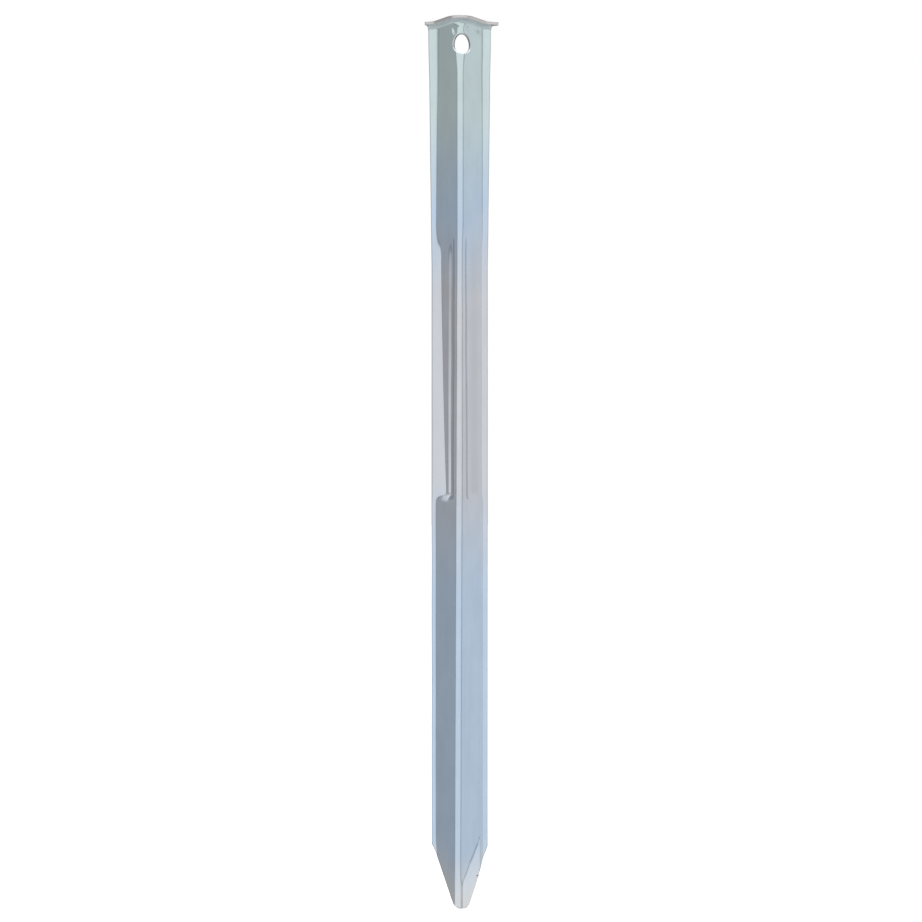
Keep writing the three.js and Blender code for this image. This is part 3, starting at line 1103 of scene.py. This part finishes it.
@dataclass
class Studio:
    """Floor, light and camera around the peg."""

    eye: tuple[float, float, float] = (0.0006, -0.5, 0.2011)
    lens: float = 43.45
    floor_radius: float = 3.0
    floor_gap: float = 0.00005
    floor_thickness: float = 0.02
    floor_rim: float = 0.004
    softbox_size: float = 0.9
    softbox_height: float = 1.3
    softbox_power: float = 6.0

    def add_floor(self) -> bpy.types.Object:
        """Makes a pale round floor with an eased rim."""
        Mesher.clear_selection()
        bpy.ops.mesh.primitive_circle_add(vertices=96, radius=self.floor_radius, fill_type="NGON")
        floor = Mesher.start("studio_floor")
        bpy.ops.object.mode_set(mode="EDIT")
        bpy.ops.mesh.select_all(action="SELECT")
        bpy.ops.mesh.extrude_region_move(TRANSFORM_OT_translate={"value": (0, 0, -self.floor_thickness)})
        Mesher.select(
            floor,
            "faces",
            lambda face: abs(face.normal.z) > 0.9 and face.calc_center_median().z > -1 * MM,
        )
        bpy.ops.mesh.bevel(offset=self.floor_rim, segments=3, affect="EDGES")
        bpy.ops.mesh.select_all(action="SELECT")
        bpy.ops.mesh.normals_make_consistent(inside=False)
        bpy.ops.object.mode_set(mode="OBJECT")
        lowest = CAD_BOX[0][2] - self.floor_gap
        for vertex in floor.data.vertices:
            vertex.co.z += lowest
        floor.data.materials.append(self.floor_paint())
        floor.visible_glossy = False
        return floor

    @staticmethod
    def floor_paint() -> bpy.types.Material:
        """Makes the floor's even, pale finish."""
        material = bpy.data.materials.new("pale_floor")
        material.use_nodes = True
        graph = Graph(material.node_tree)
        speckle = graph.noise(graph.add("TexCoord").outputs["Object"], 60.0, 3.0)
        colour = graph.mix(speckle, (0.78, 0.78, 0.78), (0.80, 0.80, 0.80))
        shader = graph.add(
            "BsdfPrincipled",
            {
                "Base Color": colour,
                "Roughness": 0.9,
                "Emission Color": (1, 1, 1, 1),
                "Emission Strength": 0.62,
            },
        )
        output = graph.add("OutputMaterial")
        graph.tree.links.new(shader.outputs[0], output.inputs[0])
        return material

    def add_softbox(self) -> None:
        """Hangs a large soft light above."""
        bpy.ops.object.light_add(type="AREA", location=(0, -0.2, self.softbox_height))
        softbox = bpy.context.object
        softbox.name = "softbox_above"
        softbox.data.shape = "SQUARE"
        softbox.data.size = self.softbox_size
        softbox.data.energy = self.softbox_power

    def add_camera(self) -> None:
        """Places the camera level, in front of the ridge and at mid height."""
        bpy.ops.object.camera_add(location=self.eye, rotation=(math.pi / 2, 0, 0))
        camera = bpy.context.object
        camera.name = "camera_front"
        camera.data.sensor_width = 36.0
        camera.data.lens = self.lens
        camera.data.clip_start = 0.01
        bpy.context.scene.camera = camera

    def build(self) -> None:
        """Makes the floor, the lights and the camera."""
        bpy.context.scene.view_settings.view_transform = "Standard"
        self.add_floor()
        StudioLight().build()
        self.add_softbox()
        self.add_camera()


PRESS_MARKS = (
    Dent(-2.6 * MM, 394.6 * MM, 0.7 * MM, 1.6 * MM, 0.2, -0.7 * MM),
    Dent(-0.7 * MM, 396.2 * MM, 0.4 * MM, 1.7 * MM, 0.0, 0.45 * MM),
    Dent(-1.3 * MM, 398.6 * MM, 0.6 * MM, 0.5 * MM, 0.0, -0.3 * MM),
    Dent(2.6 * MM, 395.3 * MM, 0.8 * MM, 1.6 * MM, -0.1, -0.45 * MM),
    Dent(0.3 * MM, 394.2 * MM, 0.4 * MM, 0.4 * MM, 0.0, 0.16 * MM),
    Dent(9.0 * MM, 396.2 * MM, 0.6 * MM, 1.8 * MM, 0.7, -0.34 * MM),
    Dent(8.0 * MM, 390.6 * MM, 0.45 * MM, 2.4 * MM, -0.72, 0.36 * MM),
    Dent(-6.5 * MM, 391.5 * MM, 2.0 * MM, 5.0 * MM, -0.25, -0.2 * MM),
    Dent(4.2 * MM, 385.0 * MM, 0.5 * MM, 0.5 * MM, 0.0, 0.2 * MM),
    Dent(-9.2 * MM, 27.5 * MM, 2.6 * MM, 4.5 * MM, 0.0, -0.2 * MM),
    Dent(-2.2 * MM, 5.2 * MM, 0.5 * MM, 0.5 * MM, 0.0, -0.3 * MM),
)
POINT_CREASES = (
    Crease(4.1 * MM, 15.5 * MM, math.radians(31), 0.62, 0.35 * MM, 1.9 * MM, 13.4 * MM),
    Crease(-7.0 * MM, 15.5 * MM, math.radians(31), 0.3, 0.3 * MM, 1.9 * MM, 13.0 * MM),
)


def main() -> None:
    """Builds the studio and the peg, and reports the peg."""
    logging.basicConfig(level=logging.INFO)
    Studio().build()
    peg = GroundPeg(PressTool(length=CAD_BOX[1][2] - CAD_BOX[0][2]), dents=PRESS_MARKS, creases=POINT_CREASES)
    made = peg.build()
    peg.dress(made, ZincPlating(), ShearedSteel())
    open_edges = count_open_edges(made)
    LOG.info("%s: %d faces, %d open edges", made.name, len(made.data.polygons), open_edges)


def count_open_edges(made: bpy.types.Object) -> int:
    """Counts the edges of a mesh that don't join exactly two faces."""
    mesh = bmesh.new()
    mesh.from_mesh(made.data)
    found = sum(1 for edge in mesh.edges if len(edge.link_faces) != 2)
    mesh.free()
    return found


if __name__ == "__main__":
    main()
